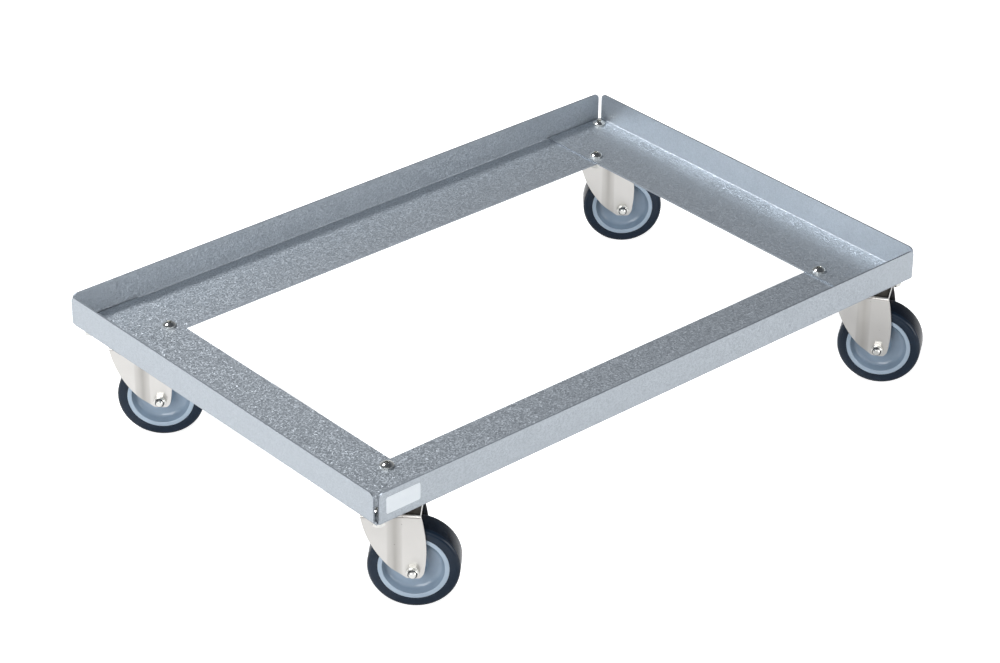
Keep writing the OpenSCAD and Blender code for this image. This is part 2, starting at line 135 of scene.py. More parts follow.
def white_world():
    """White to the eye. Everything gets less light from overhead than from the sides, and
    metal also sees a dark line at the horizon under a bright wall behind the camera."""
    world = bpy.data.worlds.new("studio_world")
    bpy.context.scene.world = world
    world.use_nodes = True
    tree = world.node_tree
    tree.nodes.clear()
    path = add_node(tree, "ShaderNodeLightPath")
    place = add_node(tree, "ShaderNodeTexCoord")
    split = add_node(tree, "ShaderNodeSeparateXYZ", [], [("Vector", place.outputs["Generated"])])
    # Seen in metal, away from the camera's side
    ramp = add_node(tree, "ShaderNodeValToRGB", [], [("Fac", split.outputs["Z"])])
    ramp.color_ramp.interpolation = "EASE"
    ramp.color_ramp.elements[0].position = 0.1
    ramp.color_ramp.elements[0].color = linear("b9bbbe")
    ramp.color_ramp.elements[1].position = 0.5
    ramp.color_ramp.elements[1].color = linear("83868b")
    overhead = ramp.color_ramp.elements.new(0.85)
    overhead.color = linear("52565c")
    # Lighting everything that isn't a mirror
    above = add_node(tree, "ShaderNodeValToRGB", [], [("Fac", split.outputs["Z"])])
    above.color_ramp.interpolation = "EASE"
    above.color_ramp.elements[0].position = 0.15
    above.color_ramp.elements[0].color = linear("808286")
    above.color_ramp.elements[1].position = 0.7
    above.color_ramp.elements[1].color = linear("5a5d61")
    # Seen in metal on the camera's side
    towards = add_node(tree, "ShaderNodeVectorMath", [("operation", "DOT_PRODUCT"),
        (1, TOWARDS_CAMERA)], [(0, place.outputs["Generated"])])
    fall = add_node(tree, "ShaderNodeMapRange", [("interpolation_type", "SMOOTHSTEP"),
        ("From Min", CAMERA_SIDE[0]), ("From Max", CAMERA_SIDE[1])], [
        ("Value", towards.outputs["Value"])])
    band = add_node(tree, "ShaderNodeValToRGB", [], [("Fac", split.outputs["Z"])])
    band.color_ramp.interpolation = "EASE"
    band.color_ramp.elements.remove(band.color_ramp.elements[1])
    for height, code in HORIZON_GLOW:
        band.color_ramp.elements.new(height).color = linear(code)
    band.color_ramp.elements.remove(band.color_ramp.elements[0])
    bright = add_node(tree, "ShaderNodeVectorMath", [("operation", "SCALE"),
        ("Scale", CAMERA_SIDE_LIGHT)], [(0, band.outputs["Color"])])
    around = add_node(tree, "ShaderNodeMix", [("data_type", "RGBA")], [
        ("Factor", fall.outputs["Result"]), ("A", ramp.outputs["Color"]), ("B", bright.outputs[0])])
    even = add_node(tree, "ShaderNodeMix", [("data_type", "RGBA")], [
        ("Factor", path.outputs["Is Glossy Ray"]), ("A", above.outputs["Color"]),
        ("B", around.outputs["Result"])])
    seen = add_node(tree, "ShaderNodeMix", [("data_type", "RGBA"), ("B", (1, 1, 1, 1))], [
        ("Factor", path.outputs["Is Camera Ray"]), ("A", even.outputs["Result"])])
    light = add_node(tree, "ShaderNodeBackground", [("Strength", 1.0)], [
        ("Color", seen.outputs["Result"])])
    add_node(tree, "ShaderNodeOutputWorld", [], [("Surface", light.outputs["Background"])])


def pale_floor():
    """A pale matt sweep that looks white and still takes the dolly's soft shadow. Metal sees it
    lit as well, but dark towards the camera."""
    bpy.ops.mesh.primitive_circle_add(vertices=96, radius=FLOOR_RADIUS, fill_type="NGON")
    floor = bpy.context.object
    floor.name = "studio_floor"
    floor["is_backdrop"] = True
    material = bpy.data.materials.new("pale_sweep")
    material.use_nodes = True
    tree = material.node_tree
    tree.nodes.clear()
    path = add_node(tree, "ShaderNodeLightPath")
    mirrored = add_node(tree, "ShaderNodeMath", [("operation", "MAXIMUM")], [
        (0, path.outputs["Is Glossy Ray"]), (1, path.outputs["Is Transmission Ray"])])
    faint = add_node(tree, "ShaderNodeMath", [("operation", "MULTIPLY"), (1, FLOOR_LIFT_IN_METAL)], [
        (0, mirrored.outputs[0])])
    place = add_node(tree, "ShaderNodeTexCoord")
    towards = add_node(tree, "ShaderNodeVectorMath", [("operation", "DOT_PRODUCT"),
        (1, TOWARDS_CAMERA)], [(0, place.outputs["Object"])])
    fade = add_node(tree, "ShaderNodeMapRange", [("interpolation_type", "SMOOTHSTEP"),
        ("From Min", FLOOR_FADE[0]), ("From Max", FLOOR_FADE[1])], [
        ("Value", towards.outputs["Value"])])
    dark = add_node(tree, "ShaderNodeMath", [("operation", "MULTIPLY")], [
        (0, fade.outputs["Result"]), (1, mirrored.outputs[0])])
    lit = add_node(tree, "ShaderNodeMath", [("operation", "SUBTRACT"), (0, 1.0)], [
        (1, dark.outputs[0])])
    near = add_node(tree, "ShaderNodeMath", [("operation", "MULTIPLY")], [
        (0, faint.outputs[0]), (1, lit.outputs[0])])
    lift = add_node(tree, "ShaderNodeMath", [("operation", "MULTIPLY_ADD"), (1, FLOOR_LIFT)], [
        (0, path.outputs["Is Camera Ray"]), (2, near.outputs[0])])
    tone = add_node(tree, "ShaderNodeMix", [("data_type", "RGBA"), ("A", linear("dcdcdc")),
        ("B", linear("2a2d31"))], [("Factor", dark.outputs[0])])
    paint = add_node(tree, "ShaderNodeBsdfDiffuse", [], [("Color", tone.outputs["Result"])])
    glow = add_node(tree, "ShaderNodeEmission", [("Color", (1, 1, 1, 1))], [
        ("Strength", lift.outputs[0])])
    both = add_node(tree, "ShaderNodeAddShader", [], [(0, paint.outputs[0]), (1, glow.outputs[0])])
    add_node(tree, "ShaderNodeOutputMaterial", [], [("Surface", both.outputs[0])])
    floor.data.materials.append(material)


def soft_lamp(name, place, side, power):
    """A square soft box that faces the middle of the dolly."""
    bpy.ops.object.light_add(type="AREA", location=place)
    lamp = bpy.context.object
    lamp.name = name
    lamp.data.shape = "SQUARE"
    lamp.data.size = side
    lamp.data.energy = power
    aim = LAMP_AIM - Vector(place)
    lamp.rotation_euler = aim.to_track_quat("-Z", "Y").to_euler()


place_camera()
white_world()
pale_floor()
for soft_box in SOFT_BOXES:
    soft_lamp(*soft_box)
bpy.context.scene.view_settings.view_transform = "Standard"

# Folded frame profiles
# Four angle profiles of 1.5 mm sheet steel, folded on a press brake and then electro-zinc
# plated. The plating leaves a fine bright grain; the sheared edges are duller.
RIM_HEIGHT = 26 * MM
# The zinc's grains: their width, and how far they tilt on level and on upright faces
SPANGLE = 1 * MM
GRAIN_TILT = 0.47
UPRIGHT_TILT = 0.22
FOLD_DULLING = 1.0
SHEAR_MARKS_PER_METRE = 900
EDGE_BREAK = 0.25 * MM
SHARP_DEGREES = 40
SMOOTH_ANGLE = math.radians(35)
MERGE_DISTANCE = 0.002 * MM
FLAT_ANGLE = math.radians(0.3)
# How squarely a face looks along a direction, from 0 to 1, to count as facing it or as aside
FACING = 0.9
ASIDE = 0.3
CUT_REACH = 0.05 * MM
ABOVE_FOLD = 1 * MM


def new_material(name):
    """An empty material with a Principled shader, and its tree and that shader."""
    material = bpy.data.materials.new(name)
    material.use_nodes = True
    tree = material.node_tree
    tree.nodes.clear()
    shader = add_node(tree, "ShaderNodeBsdfPrincipled")
    add_node(tree, "ShaderNodeOutputMaterial", [], [("Surface", shader.outputs["BSDF"])])
    return material, tree, shader


def zinc_plate():
    """Zinc plating on sheet steel: a blue-grey metal whose grains each tilt a little, less on
    the upright faces. Folding has stretched it, so the folds are duller."""
    material, tree, shader = new_material("zinc_plated_sheet")
    shader.inputs["Metallic"].default_value = 0.8
    place = add_node(tree, "ShaderNodeTexCoord")
    grain = add_node(tree, "ShaderNodeTexVoronoi", [("Scale", 1 / SPANGLE)], [
        ("Vector", place.outputs["Object"])])
    tilt = add_node(tree, "ShaderNodeVectorMath", [("operation", "SUBTRACT"),
        (1, (0.5, 0.5, 0.5))], [(0, grain.outputs["Color"])])
    surface = add_node(tree, "ShaderNodeNewGeometry")
    facing = add_node(tree, "ShaderNodeSeparateXYZ", [], [("Vector", surface.outputs["Normal"])])
    level = add_node(tree, "ShaderNodeMath", [("operation", "ABSOLUTE")], [(0, facing.outputs["Z"])])
    amount = add_node(tree, "ShaderNodeMapRange", [("To Min", UPRIGHT_TILT), ("To Max", GRAIN_TILT)], [
        ("Value", level.outputs[0])])
    lean = add_node(tree, "ShaderNodeVectorMath", [("operation", "SCALE")], [
        (0, tilt.outputs[0]), ("Scale", amount.outputs["Result"])])
    tilted = add_node(tree, "ShaderNodeVectorMath", [("operation", "ADD")], [
        (0, surface.outputs["Normal"]), (1, lean.outputs[0])])
    facet = add_node(tree, "ShaderNodeVectorMath", [("operation", "NORMALIZE")], [
        (0, tilted.outputs[0])])
    tree.links.new(facet.outputs[0], shader.inputs["Normal"])
    pick = add_node(tree, "ShaderNodeSeparateColor", [], [("Color", grain.outputs["Color"])])
    tone = add_node(tree, "ShaderNodeValToRGB", [], [("Fac", pick.outputs["Red"])])
    tone.color_ramp.elements[0].color = linear("b7bec5")
    tone.color_ramp.elements[1].color = linear("abb2b9")
    tree.links.new(tone.outputs["Color"], shader.inputs["Base Color"])
    gloss = add_node(tree, "ShaderNodeMapRange", [("To Min", 0.38), ("To Max", 0.5)], [
        ("Value", pick.outputs["Green"])])
    rest = add_node(tree, "ShaderNodeMath", [("operation", "SUBTRACT"), (0, 1.0)], [
        (1, level.outputs[0])])
    folded = add_node(tree, "ShaderNodeMath", [("operation", "MULTIPLY")], [
        (0, level.outputs[0]), (1, rest.outputs[0])])
    duller = add_node(tree, "ShaderNodeMath", [("operation", "MULTIPLY_ADD"), (1, FOLD_DULLING)], [
        (0, folded.outputs[0]), (2, gloss.outputs["Result"])])
    tree.links.new(duller.outputs[0], shader.inputs["Roughness"])
    return material


def sheared_edge():
    """The cut edge of that sheet: plated too, but rough from the shear, so it looks dull."""
    material, tree, shader = new_material("sheared_sheet_edge")
    shader.inputs["Metallic"].default_value = 1.0
    shader.inputs["Roughness"].default_value = 0.55
    place = add_node(tree, "ShaderNodeTexCoord")
    drag = add_node(tree, "ShaderNodeTexNoise", [("Scale", SHEAR_MARKS_PER_METRE), ("Detail", 2.0)], [
        ("Vector", place.outputs["Object"])])
    tone = add_node(tree, "ShaderNodeValToRGB", [], [("Fac", drag.outputs["Fac"])])
    tone.color_ramp.elements[0].color = linear("868d95")
    tone.color_ramp.elements[1].color = linear("a2a8af")
    tree.links.new(tone.outputs["Color"], shader.inputs["Base Color"])
    return material


def deselect():
    """Leaves nothing selected, in object mode."""
    if bpy.context.object and bpy.context.object.mode != "OBJECT":
        bpy.ops.object.mode_set(mode="OBJECT")
    bpy.ops.object.select_all(action="DESELECT")


def merged_copy(node, name):
    """A copy of a CAD node as a new piece: its triangles joined up and its flats made whole."""
    deselect()
    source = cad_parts[node]
    mesh = source.data.copy()
    mesh.name = name
    mesh.materials.clear()
    piece = bpy.data.objects.new(name, mesh)
    bpy.context.scene.collection.objects.link(piece)
    bpy.context.view_layer.objects.active = piece
    piece.select_set(True)
    bpy.ops.mesh.customdata_custom_splitnormals_clear()
    bpy.ops.object.mode_set(mode="EDIT")
    bpy.ops.mesh.select_all(action="SELECT")
    bpy.ops.mesh.remove_doubles(threshold=MERGE_DISTANCE)
    bpy.ops.mesh.dissolve_limited(angle_limit=FLAT_ANGLE)
    bpy.ops.object.mode_set(mode="OBJECT")
    return piece


def break_edges(piece, width, angle):
    """Rounds every edge sharper than an angle, as tumbling or a press leaves it."""
    deselect()
    bpy.context.view_layer.objects.active = piece
    piece.select_set(True)
    bevel = piece.modifiers.new("broken_edges", "BEVEL")
    bevel.width = width
    bevel.segments = 2
    bevel.limit_method = "ANGLE"
    bevel.angle_limit = math.radians(angle)
    bevel.use_clamp_overlap = True
    bevel.miter_outer = "MITER_ARC"
    bevel.harden_normals = True
    bpy.ops.object.shade_smooth_by_angle(angle=SMOOTH_ANGLE)
    bpy.ops.object.modifier_apply(modifier=bevel.name)


def paint(piece, *materials):
    """Gives the piece its materials, the first one everywhere."""
    piece.data.materials.clear()
    for material in materials:
        piece.data.materials.append(material)


ZINC = zinc_plate()
SHEARED = sheared_edge()
SIDES = {"front_side": (0, -1), "back_side": (0, 1), "left_side": (-1, 0), "right_side": (1, 0)}
for node, outward in SIDES.items():
    side = merged_copy(node, node.replace("side", "profile"))
    break_edges(side, EDGE_BREAK, SHARP_DEGREES)
    paint(side, ZINC, SHEARED)
    low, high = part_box(node)
    out = Vector((outward[0], outward[1], 0))
    run = Vector((-out.y, out.x, 0))
    flange_top = high.z - RIM_HEIGHT
    inner = min(out.dot(low), out.dot(high))
    for face in side.data.polygons:
        across, along = abs(face.normal.dot(out)), abs(face.normal.dot(run))
        rim_cut = across < ASIDE and face.center.z > flange_top + ABOVE_FOLD
        flange_cut = across > FACING and out.dot(face.center) < inner + CUT_REACH
        if rim_cut or along > FACING or flange_cut:
            face.material_index = 1
    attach(side, "frame")
    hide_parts(node)

# Castor plates, swivel heads and forks
# Stainless sheet, blanked and pressed: the plate with its dished upper race, the cup under it
# and the fork with its crown race. Tumbling has rounded the edges and left a satin skin.
CORNERS = ("front_left", "front_right", "back_right", "back_left")
PRESSED_EDGE = 0.3 * MM
PRESSED_SHARP_DEGREES = 50
AXLE_Z = 37.5 * MM
LEG_END = 29.9 * MM
LEG_CORNER = 2.5 * MM
# The step in each leg: its bends are known by their angle and length, and its faces by their
# lean, as a share of the full lean
STEP_BEND = (math.radians(17), math.radians(24))
STEP_LEAST = 8 * MM
STEP_ROUNDING = 2 * MM
STEP_LEAN = math.radians(20.6)
STEP_RANGE = (0.02, 1.05)
ON_CUT = 0.01 * MM
ALONG_AXLE = 0.99
PLATE_UNDERSIDE = 97 * MM


def pressed_stainless():
    """Satin stainless sheet: warm grey, with small handling marks. The legs' steps are painted darker,
    as painted shade. Faces that look up from below the plate, the crown's top, are painted dark grey,
    as painted shade."""
    material, tree, shader = new_material("pressed_stainless_sheet")
    shader.inputs["Metallic"].default_value = 1.0
    place = add_node(tree, "ShaderNodeTexCoord")
    cloud = add_node(tree, "ShaderNodeTexNoise", [("Scale", 1 / (22 * MM)), ("Detail", 2.0)], [
        ("Vector", place.outputs["Object"])])
    tone = add_node(tree, "ShaderNodeValToRGB", [], [("Fac", cloud.outputs["Fac"])])
    tone.color_ramp.elements[0].color = linear("c5c3c0")
    tone.color_ramp.elements[1].color = linear("cfcdca")
    marks = add_node(tree, "ShaderNodeTexVoronoi", [("Scale", 1 / (9 * MM))], [
        ("Vector", place.outputs["Object"])])
    spot = add_node(tree, "ShaderNodeMapRange", [("From Min", 0.03), ("From Max", 0.07),
        ("To Min", 0.5), ("To Max", 1.0)], [("Value", marks.outputs["Distance"])])
    worn = add_node(tree, "ShaderNodeMix", [("data_type", "RGBA"), ("A", linear("77736d"))], [
        ("Factor", spot.outputs["Result"]), ("B", tone.outputs["Color"])])
    # Painted shade: the legs' steps are multiplied darker, by each point's share of the step
    step_shade_attribute = add_node(tree, "ShaderNodeAttribute", [("attribute_name", "step_shade")])
    step_shaded = add_node(tree, "ShaderNodeMix", [("data_type", "RGBA"), ("blend_type", "MULTIPLY"),
        ("B", linear("d8d7d5"))], [("Factor", step_shade_attribute.outputs["Fac"]), ("A", worn.outputs["Result"])])
    # Painted shade: faces that look up from below the plate's underside, such as the crown's top, are
    # painted dark grey
    surface = add_node(tree, "ShaderNodeNewGeometry")
    facing = add_node(tree, "ShaderNodeSeparateXYZ", [], [("Vector", surface.outputs["Normal"])])
    upward = add_node(tree, "ShaderNodeMapRange", [("From Min", 0.85), ("From Max", 0.97)], [
        ("Value", facing.outputs["Z"])])
    height = add_node(tree, "ShaderNodeSeparateXYZ", [], [("Vector", place.outputs["Object"])])
    under = add_node(tree, "ShaderNodeMath", [("operation", "LESS_THAN"), (1, PLATE_UNDERSIDE)], [
        (0, height.outputs["Z"])])
    crown_shade_mask = add_node(tree, "ShaderNodeMath", [("operation", "MULTIPLY")], [
        (0, upward.outputs["Result"]), (1, under.outputs[0])])
    crown_painted_shade = add_node(tree, "ShaderNodeMix", [("data_type", "RGBA"), ("B", linear("55524e"))], [
        ("Factor", crown_shade_mask.outputs[0]), ("A", step_shaded.outputs["Result"])])
    tree.links.new(crown_painted_shade.outputs["Result"], shader.inputs["Base Color"])
    fine = add_node(tree, "ShaderNodeTexNoise", [("Scale", 1 / (0.8 * MM)), ("Detail", 3.0)], [
        ("Vector", place.outputs["Object"])])
    gloss = add_node(tree, "ShaderNodeMapRange", [("To Min", 0.26), ("To Max", 0.36)], [
        ("Value", fine.outputs["Fac"])])
    tree.links.new(gloss.outputs["Result"], shader.inputs["Roughness"])
    bump = add_node(tree, "ShaderNodeBump", [("Strength", 0.15), ("Distance", 0.05 * MM)], [
        ("Height", fine.outputs["Fac"])])
    tree.links.new(bump.outputs["Normal"], shader.inputs["Normal"])
    return material


def cut_off(piece, place, outward):
    """Cuts away what lies beyond a plane, and closes the cut."""
    deselect()
    bpy.context.view_layer.objects.active = piece
    piece.select_set(True)
    bpy.ops.object.mode_set(mode="EDIT")
    bpy.ops.mesh.select_all(action="SELECT")
    bpy.ops.mesh.bisect(plane_co=place, plane_no=outward, use_fill=True, clear_outer=True)
    bpy.ops.object.mode_set(mode="OBJECT")


def middle(node):
    """The middle of a CAD node's box."""
    low_corner, high_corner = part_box(node)
    return (low_corner + high_corner) / 2


def axle_place(corner):
    """Puts a piece that is modelled round Z on a wheel's axle, its middle at the wheel's middle."""
    pivot, axle = middle(corner + "_plate"), middle(corner + "_tyre")
    turn = math.atan2(axle.y - pivot.y, axle.x - pivot.x)
    upright = Matrix.Rotation(turn, 4, "Z") @ Matrix.Rotation(math.radians(90), 4, "X")
    return Matrix.Translation((axle.x, axle.y, AXLE_Z)) @ upright


def round_edges(piece, chosen, offset, segments):
    """Rounds the edges of a piece that a test picks."""
    deselect()
    bpy.context.view_layer.objects.active = piece
    piece.select_set(True)
    bpy.ops.object.mode_set(mode="EDIT")
    bpy.ops.mesh.select_mode(type="EDGE")
    bpy.ops.mesh.select_all(action="DESELECT")
    bpy.ops.object.mode_set(mode="OBJECT")
    for edge in piece.data.edges:
        ends = [piece.data.vertices[i].co for i in edge.vertices]
        edge.select = chosen(edge, ends)
    bpy.ops.object.mode_set(mode="EDIT")
    bpy.ops.mesh.bevel(offset=offset, segments=segments)
    bpy.ops.mesh.select_mode(type="VERT")
    bpy.ops.object.mode_set(mode="OBJECT")


def round_tips(piece, corner):
    """Cuts a fork's leg tips straight below the axle, as they are blanked, and rounds them."""
    along = axle_place(corner).to_3x3() @ Vector((0, 0, 1))
    cut_off(piece, (0, 0, LEG_END), (0, 0, -1))

    def is_tip_corner(edge, ends):
        at_end = max(abs(end.z - LEG_END) for end in ends) < ON_CUT
        return at_end and abs((ends[1] - ends[0]).normalized().dot(along)) > ALONG_AXLE

    round_edges(piece, is_tip_corner, LEG_CORNER, 6)


def soften_steps(piece):
    """Rounds the two bends of the step in each leg."""
    beside = {}
    for face in piece.data.polygons:
        for key in face.edge_keys:
            beside.setdefault(key, []).append(face.normal.copy())

    def is_step_bend(edge, ends):
        normals = beside[edge.key]
        bend = len(normals) == 2 and STEP_BEND[0] < normals[0].angle(normals[1]) < STEP_BEND[1]
        return bend and (ends[1] - ends[0]).length > STEP_LEAST

    round_edges(piece, is_step_bend, STEP_ROUNDING, 4)


def mark_step_shade(piece, corner):
    """Stores how far each point lies in a leg's step, which the material paints darker as painted
    shade.
    """
    along = axle_place(corner).to_3x3() @ Vector((0, 0, 1))
    leans = [[] for vertex in piece.data.vertices]
    for face in piece.data.polygons:
        lean = math.acos(min(1, abs(face.normal.dot(along)))) / STEP_LEAN
        if lean < STEP_RANGE[1]:
            for i in face.vertices:
                leans[i].append(lean)
    # Each point's share of the painted shade in the step
    step_shade = piece.data.attributes.new("step_shade", "FLOAT", "POINT")
    for i, values in enumerate(leans):
        in_step = values and min(values) > STEP_RANGE[0]
        step_shade.data[i].value = sum(values) / len(values) if in_step else 0


STAINLESS = pressed_stainless()
for corner in CORNERS:
    for part, body in (("plate", "frame"), ("lower_race", "frame"), ("fork", corner + "_castor")):
        node = corner + "_" + part
        piece = merged_copy(node, node + "_pressed")
        if part == "fork":
            round_tips(piece, corner)
            soften_steps(piece)
        break_edges(piece, PRESSED_EDGE, PRESSED_SHARP_DEGREES)
        if part == "fork":
            mark_step_shade(piece, corner)
        paint(piece, STAINLESS)
        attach(piece, body)
        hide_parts(node)

# Pins, balls, bolts, nuts and screws
# Turned and cold-headed steel, zinc plated bright. The balls are polished bearing steel.
# The ends that stand out of the nuts show their thread, and the axle nut its nylon ring.
# M6 thread: its crest and root radii and its pitch, and where the crest lies in the pitch
THREAD = (2.98 * MM, 2.55 * MM, 1.0 * MM)
CREST = (0.42, 0.58)
TIP_ROUNDING = 0.1 * MM
TIP_CHAMFER = 0.3 * MM
FASTENER_EDGE = 0.15 * MM
LEG_FACE = 15.5 * MM
AXLE_NUT_HEIGHT = 6 * MM
AXLE_END = 2.3 * MM
PLATE_NUT_FACE = 92.5 * MM
PLATE_SCREW_END = 1.0 * MM
THREAD_START = 0.4 * MM
NYLON_RADIUS = 3.95 * MM
NYLON_BORE = THREAD[0] + 0.02 * MM
NYLON_PROUD = 0.04 * MM
PAN_RADIUS = 6.0 * MM
SAME_POINT = 0.001 * MM
TURNED_SMOOTH_ANGLE = math.radians(32)


def bright_steel():
    """Bright plated steel: smooth and mirror-like, with a slight waviness from plating."""
    material, tree, shader = new_material("bright_plated_steel")
    shader.inputs["Metallic"].default_value = 1.0
    place = add_node(tree, "ShaderNodeTexCoord")
    wave = add_node(tree, "ShaderNodeTexNoise", [("Scale", 1 / (2 * MM)), ("Detail", 2.0)], [
        ("Vector", place.outputs["Object"])])
    tone = add_node(tree, "ShaderNodeValToRGB", [], [("Fac", wave.outputs["Fac"])])
    tone.color_ramp.elements[0].color = linear("c9c9c6")
    tone.color_ramp.elements[1].color = linear("dededa")
    tree.links.new(tone.outputs["Color"], shader.inputs["Base Color"])
    gloss = add_node(tree, "ShaderNodeMapRange", [("To Min", 0.1), ("To Max", 0.2)], [
        ("Value", wave.outputs["Fac"])])
    tree.links.new(gloss.outputs["Result"], shader.inputs["Roughness"])
    return material


def polished_ball_steel():
    """Bearing steel, ground and lapped, under a thin film of grease that dulls it in places."""
    material, tree, shader = new_material("polished_ball_steel")
    shader.inputs["Metallic"].default_value = 1.0
    shader.inputs["Base Color"].default_value = linear("b9b9b7")
    place = add_node(tree, "ShaderNodeTexCoord")
    grease = add_node(tree, "ShaderNodeTexNoise", [("Scale", 1 / (1.5 * MM))], [
        ("Vector", place.outputs["Object"])])
    gloss = add_node(tree, "ShaderNodeMapRange", [("To Min", 0.05), ("To Max", 0.3)], [
        ("Value", grease.outputs["Fac"])])
    tree.links.new(gloss.outputs["Result"], shader.inputs["Roughness"])
    return material


def nylon():
    """Moulded polyamide, dyed dark and softly dull, as in a self-locking nut."""
    material, tree, shader = new_material("moulded_polyamide_ring")
    shader.inputs["Roughness"].default_value = 0.5
    shader.inputs["IOR"].default_value = 1.53
    place = add_node(tree, "ShaderNodeTexCoord")
    fine = add_node(tree, "ShaderNodeTexNoise", [("Scale", 1 / (1 * MM))], [
        ("Vector", place.outputs["Object"])])
    tone = add_node(tree, "ShaderNodeValToRGB", [], [("Fac", fine.outputs["Fac"])])
    tone.color_ramp.elements[0].color = linear("1d2024")
    tone.color_ramp.elements[1].color = linear("25282d")
    tree.links.new(tone.outputs["Color"], shader.inputs["Base Color"])
    return material


def turned(name, section, steps=96):
    """A piece spun round Z from its half section, points of (radius, height, rounding)."""
    deselect()
    bpy.ops.mesh.primitive_plane_add(size=MM)
    piece = bpy.context.object
    piece.name = name
    piece.data.name = name
    bpy.ops.object.mode_set(mode="EDIT")
    bpy.ops.mesh.merge(type="CENTER")
    points = [Vector((radius, 0, height)) for radius, height, rounding in section]
    bpy.ops.transform.translate(value=points[0])
    for start, end in zip(points, points[1:]):
        bpy.ops.mesh.extrude_region_move(TRANSFORM_OT_translate={"value": end - start})
    bpy.ops.mesh.select_all(action="SELECT")
    bpy.ops.mesh.edge_face_add()
    for rounding in sorted({p[2] for p in section if p[2]}):
        bpy.ops.mesh.select_all(action="DESELECT")
        bpy.ops.object.mode_set(mode="OBJECT")
        spots = [point for point, p in zip(points, section) if p[2] == rounding]
        for vertex in piece.data.vertices:
            vertex.select = any((vertex.co - spot).length < SAME_POINT for spot in spots)
        bpy.ops.object.mode_set(mode="EDIT")
        bpy.ops.mesh.bevel(offset=rounding, segments=5, affect="VERTICES")
    bpy.ops.mesh.select_all(action="SELECT")
    bpy.ops.mesh.delete(type="ONLY_FACE")
    bpy.ops.mesh.select_all(action="SELECT")
    bpy.ops.mesh.spin(steps=steps, angle=math.tau, center=(0, 0, 0), axis=(0, 0, 1))
    bpy.ops.mesh.select_all(action="SELECT")
    bpy.ops.mesh.remove_doubles(threshold=MERGE_DISTANCE)
    bpy.ops.mesh.normals_make_consistent(inside=False)
    bpy.ops.object.mode_set(mode="OBJECT")
    bpy.ops.object.shade_smooth_by_angle(angle=TURNED_SMOOTH_ANGLE)
    return piece


def placed_copy(piece, name, place):
    """A copy of a piece with its own mesh, put in place in that mesh."""
    copy = piece.copy()
    copy.data = piece.data.copy()
    copy.name = name
    copy.data.name = name
    copy.data.transform(place)
    bpy.context.scene.collection.objects.link(copy)
    return copy


def screw_places(corner):
    """Where a corner's two plate screws stand: the far corners of their node's box, less a head."""
    low_corner, high_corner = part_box(corner + "_plate_screws")
    centre = (low_corner + high_corner) / 2
    reach_x = (high_corner.x - low_corner.x) / 2 - PAN_RADIUS
    reach_y = (high_corner.y - low_corner.y) / 2 - PAN_RADIUS
    lean = 1 if centre.x * centre.y > 0 else -1
    return [(centre.x + out * reach_x, centre.y + out * lean * reach_y) for out in (-1, 1)]


def threaded_end(name, thread, length):
    """The end of a thread, from just inside its nut to its chamfered tip, round Z."""
    crest, root, pitch = thread
    section = [(0, -THREAD_START, 0), (root, -THREAD_START, 0)]
    height = -THREAD_START
    while height + 1.5 * pitch < length:
        section.append((crest, height + CREST[0] * pitch, 0))
        section.append((crest, height + CREST[1] * pitch, 0))
        section.append((root, height + pitch, TIP_ROUNDING))
        height += pitch
    section.append((crest - TIP_ROUNDING, length - 0.5 * pitch, TIP_ROUNDING))
    section.append((root - TIP_CHAMFER, length, TIP_ROUNDING))
    section.append((0, length, 0))
    return turned(name, section, 48)


BRIGHT = bright_steel()
BALL = polished_ball_steel()
NYLON = nylon()
axle_thread = threaded_end("axle_thread", THREAD, AXLE_END)
screw_thread = threaded_end("screw_thread", THREAD, PLATE_SCREW_END)
nylon_ring = turned("nylon_ring", [
    (NYLON_BORE, -THREAD_START, 0), (NYLON_RADIUS, -THREAD_START, 0),
    (NYLON_RADIUS, NYLON_PROUD, 0), (NYLON_BORE, NYLON_PROUD, 0),
    (NYLON_BORE, -THREAD_START, 0)], 48)
paint(axle_thread, BRIGHT)
paint(screw_thread, BRIGHT)
paint(nylon_ring, NYLON)
for corner in CORNERS:
    for part in ("king_pin", "axle_sleeve"):
        paint(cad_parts[corner + "_" + part], BRIGHT)
    for part in ("upper_balls", "lower_balls"):
        paint(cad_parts[corner + "_" + part], BALL)
    for part, body in (("axle_bolt", corner + "_castor"), ("axle_nut", corner + "_castor"),
            ("plate_screws", "frame"), ("plate_nuts", "frame")):
        node = corner + "_" + part
        piece = merged_copy(node, node + "_headed")
        if part == "axle_bolt":
            along = axle_place(corner)
            face = along @ Vector((0, 0, LEG_FACE + AXLE_NUT_HEIGHT - THREAD_START))
            cut_off(piece, face, along.to_3x3() @ Vector((0, 0, 1)))
        if part == "plate_screws":
            cut_off(piece, (0, 0, PLATE_NUT_FACE + THREAD_START), (0, 0, -1))
        break_edges(piece, FASTENER_EDGE, SHARP_DEGREES)
        paint(piece, BRIGHT)
        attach(piece, body)
        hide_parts(node)
    nut_face = axle_place(corner) @ Matrix.Translation((0, 0, LEG_FACE + AXLE_NUT_HEIGHT))
    ends = [(axle_thread, corner + "_axle_thread", nut_face),
        (nylon_ring, corner + "_nylon_ring", nut_face)]
    for number, screw in enumerate(screw_places(corner)):
        down = Matrix.Translation((*screw, PLATE_NUT_FACE)) @ Matrix.Rotation(math.pi, 4, "X")
        ends.append((screw_thread, f"{corner}_screw_thread_{number + 1}", down))
    for model, name, place in ends:
        piece = placed_copy(model, name, place)
        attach(piece, "frame" if model is screw_thread else corner + "_castor")
for model in (axle_thread, screw_thread, nylon_ring):
    bpy.data.objects.remove(model)

